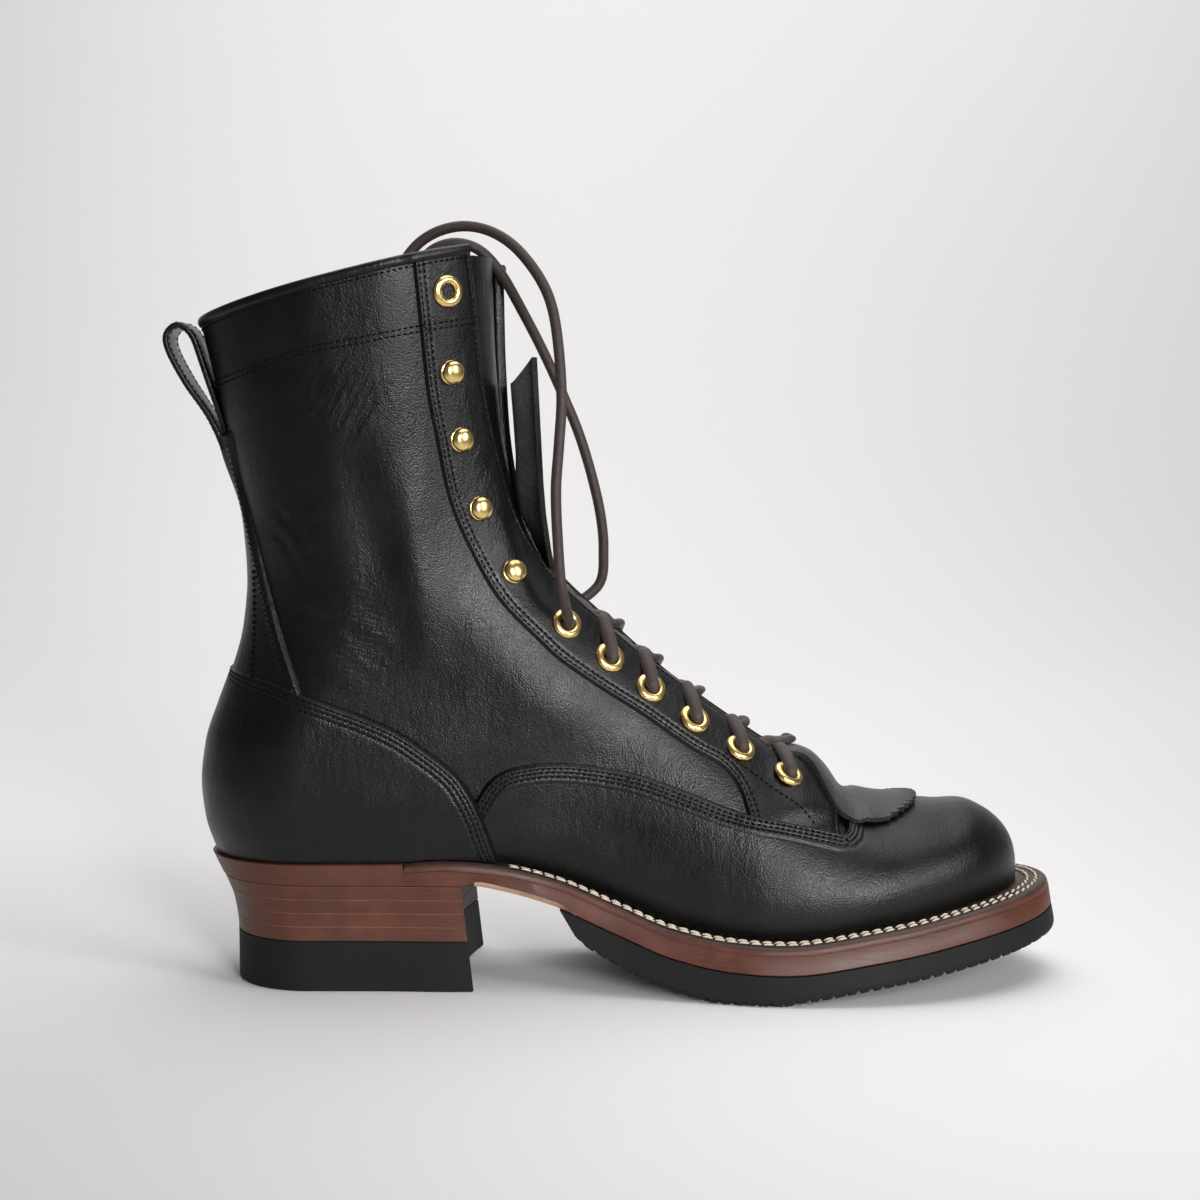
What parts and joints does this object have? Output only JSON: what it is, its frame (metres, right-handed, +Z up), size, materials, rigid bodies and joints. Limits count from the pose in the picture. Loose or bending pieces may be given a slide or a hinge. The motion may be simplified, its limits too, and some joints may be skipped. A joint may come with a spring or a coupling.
{
  "type": "lineman boot",
  "caption": "Laced leather work boot for the right foot, standing empty, with a tall shaft, stacked heel, stitched welt, fringed false tongue, brass eyelets and hooks, and a pull loop.",
  "frame": {"origin": "middle of the boot's box in plan, on the floor it stands on", "axes": "+X towards the toe, +Y towards the inner side of the foot, +Z up the shaft"},
  "size_m": [0.3191, 0.1084, 0.2688],
  "materials": {
    "black_leather": "dyed through, waxed, soft sheen",
    "brown_sole_leather": "stained and burnished edges",
    "insole_leather": "undyed, matt",
    "black_rubber": "moulded, matt",
    "brass": "polished",
    "lace_leather": "rolled rawhide, oiled"
  },
  "bodies": {
    "root": {"upper": "black_leather", "heel_counter": "black_leather", "tongue": "black_leather", "kiltie": "black_leather", "pull_loop": "black_leather", "midsole": "brown_sole_leather", "welt": "brown_sole_leather", "heel_lift_1": "brown_sole_leather", "heel_lift_2": "brown_sole_leather", "heel_lift_3": "brown_sole_leather", "heel_lift_4": "brown_sole_leather", "insole": "insole_leather", "outsole": "black_rubber", "heel_top_lift": "black_rubber", "eyelet_outer_1": "brass", "eyelet_outer_2": "brass", "eyelet_outer_3": "brass", "eyelet_outer_4": "brass", "eyelet_outer_5": "brass", "eyelet_outer_6": "brass", "eyelet_outer_7": "brass", "eyelet_inner_1": "brass", "eyelet_inner_2": "brass", "eyelet_inner_3": "brass", "eyelet_inner_4": "brass", "eyelet_inner_5": "brass", "eyelet_inner_6": "brass", "eyelet_inner_7": "brass", "hook_outer_1": "brass", "hook_outer_2": "brass", "hook_outer_3": "brass", "hook_outer_4": "brass", "hook_inner_1": "brass", "hook_inner_2": "brass", "hook_inner_3": "brass", "hook_inner_4": "brass", "lace_crossing_1": "lace_leather", "lace_crossing_2": "lace_leather", "lace_crossing_3": "lace_leather", "lace_crossing_4": "lace_leather", "lace_crossing_5": "lace_leather", "lace_end_outer": "lace_leather", "lace_end_inner": "lace_leather"}
  },
  "joints": []
}
